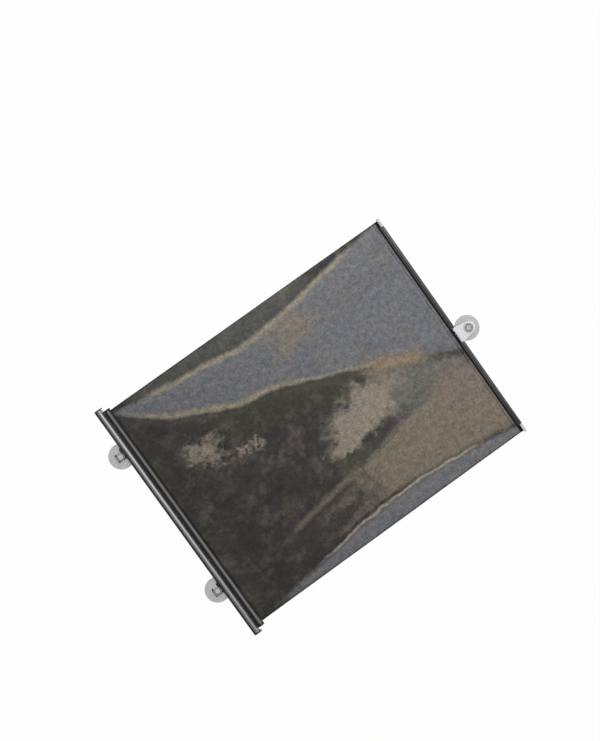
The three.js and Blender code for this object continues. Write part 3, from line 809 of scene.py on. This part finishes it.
def pulled_film():
    """The film from under the roll to its hem, welded back on itself round the hem rod."""
    low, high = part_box("shade_film")
    rod_low, rod_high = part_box("hem_rod")
    rod = (rod_low + rod_high) / 2
    roll_low, roll_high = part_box("film_roll")
    start = Vector(((roll_low.x + roll_high.x) / 2, 0, roll_low.z - FILM_UNDER_ROLL))
    pull = rod.x - HEM_RADIUS - start.x
    # Place, height and flat length of each row: the pull, the hem loop and the welded flap
    path = []
    for i in range(FILM_ROWS + 1):
        along = pull * i / FILM_ROWS
        drop = min(along / FILM_DROP_LENGTH, 1.0)
        level = start.z + (rod.z - start.z) * drop * drop * (3 - 2 * drop)
        path.append((start.x + along, level, along))
    for i in range(1, HEM_STEPS):
        turn = 2 * math.pi * i / HEM_STEPS
        path.append((rod.x - HEM_RADIUS * math.cos(turn), rod.z - HEM_RADIUS * math.sin(turn),
                     pull + HEM_RADIUS * turn))
    for i in range(HEM_FLAP_ROWS + 1):
        back = i * HEM_FLAP_STEP
        path.append((rod.x - HEM_RADIUS - back, rod.z + HEM_FLAP_LIFT, pull - back))
    across = np.linspace(0, FILM_WIDTH, FILM_COLUMNS + 1)
    spots = np.array([[[x, high.y - a, z] for a in across] for x, z, s in path])
    flat = np.array([[[s / FILM_REACH, a / FILM_WIDTH] for a in across] for x, z, s in path])
    sheet = slice(0, FILM_ROWS + 1)
    relief = film_relief(flat[sheet, :, 0] * FILM_REACH, flat[sheet, :, 1] * FILM_WIDTH, pull)
    spots[sheet, :, 2] += relief
    flap_start = FILM_ROWS + HEM_STEPS
    for i in range(HEM_FLAP_ROWS + 1):
        under = FILM_ROWS - round(i * FILM_ROWS * HEM_FLAP_STEP / pull)
        spots[flap_start + i, :, 2] += relief[under]
    # The flap's cut edge is a little uneven
    spots[-1, :, 0] += 0.5 * MM * np.sin(across / 0.011) * np.sin(across / 0.037 + 1)
    wide = FILM_COLUMNS + 1
    faces = [(r * wide + c, r * wide + c + 1, (r + 1) * wide + c + 1, (r + 1) * wide + c)
             for r in range(len(path) - 1) for c in range(FILM_COLUMNS)]
    mesh = bpy.data.meshes.new("pulled_film")
    mesh.from_pydata(spots.reshape(-1, 3).tolist(), [], faces)
    chart = mesh.uv_layers.new(name="flat")
    corners = np.array([v for face in faces for v in face])
    chart.data.foreach_set("uv", flat.reshape(-1, 2)[corners].ravel())
    mesh.update()
    piece = bpy.data.objects.new("pulled_film", mesh)
    bpy.context.scene.collection.objects.link(piece)
    only(piece)
    bpy.ops.object.shade_smooth()
    finish_with(piece, "SOLIDIFY", thickness=FILM_SHEET, offset=0.0)
    length = pull + HEM_RADIUS * 2 * math.pi + HEM_FLAP_ROWS * HEM_FLAP_STEP
    return piece, start, length


film, film_start, film_length = pulled_film()
dressed(film, FILM, "pull_bar", "film", "shade_film")
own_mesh(film)


# Solids that stay

for node, surface in (("hem_rod", ABS), ("roller_tube", STEEL), ("idler_bush", ABS),
                      ("spring_bush", ABS), ("spring_shaft", STEEL), ("spring_anchor", ABS),
                      ("torsion_spring", WIRE)):
    kept = frame["nodes"][node]
    kept.data.materials.clear()
    kept.data.materials.append(surface)


# Floor, lamps and camera

FLOOR_DROP = 0.3 * MM
FLOOR_SIZE = 60
FLOOR_WHITENESS = 0.97
HORIZON_LIGHT = 0.05
OVERHEAD_LIGHT = 1.3
OVERHEAD_FOCUS = 2.6
OVERHEAD_WAY = (0.375, 0, 0.927)
LAMPS = [
    # name, place, size in metres, watts
    ("key_softbox", (0.45, 0.9, 1.8), (1.2, 1.2), 13),
    ("fill_softbox", (0.7, -0.4, 1.75), (0.8, 1.4), 4),
]
CAMERA_PLACE = (-0.0598, 0.14571, 1.59443)
CAMERA_TURN = (-0.1708, -3.8063, -35.4677)
CAMERA_LENS = 49.94


def paper_floor():
    """A white sweep: paper white to the eye and in reflections, and it keeps the shadow."""
    bpy.ops.object.select_all(action="DESELECT")
    bpy.ops.mesh.primitive_plane_add(size=FLOOR_SIZE, location=(0, 0, -FLOOR_DROP))
    floor = started("paper_floor")
    surface = bpy.data.materials.new("matt_white_paper")
    surface.use_nodes = True
    tree = surface.node_tree
    tree.nodes.clear()
    paper = add_node(tree, "ShaderNodeBsdfDiffuse", {"Color": tone("#e9e9e9")})
    white = add_node(tree, "ShaderNodeEmission", {"Color": (1, 1, 1, 1), "Strength": 1.0})
    rays = add_node(tree, "ShaderNodeLightPath")
    seen = maths(tree, "MAXIMUM", rays.outputs["Is Camera Ray"], rays.outputs["Is Glossy Ray"])
    seen = maths(tree, "MAXIMUM", seen, rays.outputs["Is Transmission Ray"])
    share = maths(tree, "MULTIPLY", seen, FLOOR_WHITENESS)
    blend = add_node(tree, "ShaderNodeMixShader", {0: share, 1: paper.outputs[0], 2: white.outputs[0]})
    add_node(tree, "ShaderNodeOutputMaterial", {"Surface": blend.outputs[0]})
    floor.data.materials.append(surface)
    floor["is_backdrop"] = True


def soft_sky():
    """Studio light from overhead and a little from the bar's side, fading to a dark
    horizon, and plain white where the camera sees it past the floor."""
    world = bpy.data.worlds.new("studio")
    bpy.context.scene.world = world
    world.use_nodes = True
    tree = world.node_tree
    tree.nodes.clear()
    way = add_node(tree, "ShaderNodeTexCoord").outputs["Generated"]
    height = add_node(tree, "ShaderNodeVectorMath", {0: way, 1: OVERHEAD_WAY},
                      operation="DOT_PRODUCT").outputs["Value"]
    above = maths(tree, "POWER", maths(tree, "MAXIMUM", height, 0.0), OVERHEAD_FOCUS)
    level = span(tree, above, 0.0, 1.0, HORIZON_LIGHT, OVERHEAD_LIGHT)
    seen = add_node(tree, "ShaderNodeLightPath").outputs["Is Camera Ray"]
    level = maths(tree, "MAXIMUM", level, seen)
    sky = add_node(tree, "ShaderNodeBackground", {"Color": (1, 1, 1, 1), "Strength": level})
    add_node(tree, "ShaderNodeOutputWorld", {"Surface": sky.outputs[0]})


def softbox(name, place, size, power):
    """A flat lamp that faces the middle of the film."""
    lamp = bpy.data.lights.new(name, "AREA")
    lamp.shape = "RECTANGLE"
    lamp.size, lamp.size_y = size
    lamp.energy = power
    holder = bpy.data.objects.new(name, lamp)
    holder.location = place
    holder.rotation_euler = (-Vector(place)).to_track_quat("-Z", "Y").to_euler()
    bpy.context.scene.collection.objects.link(holder)


def photo_camera():
    """The photograph's own view, solved from the corners of housing, film and bar."""
    lens = bpy.data.cameras.new("photo_camera")
    lens.sensor_fit = "AUTO"
    lens.lens = CAMERA_LENS
    holder = bpy.data.objects.new("photo_camera", lens)
    holder.location = CAMERA_PLACE
    holder.rotation_euler = [math.radians(angle) for angle in CAMERA_TURN]
    bpy.context.scene.collection.objects.link(holder)
    bpy.context.scene.camera = holder


paper_floor()
soft_sky()
for lamp_facts in LAMPS:
    softbox(*lamp_facts)
photo_camera()
bpy.context.scene.view_settings.view_transform = "Standard"

low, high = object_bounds()
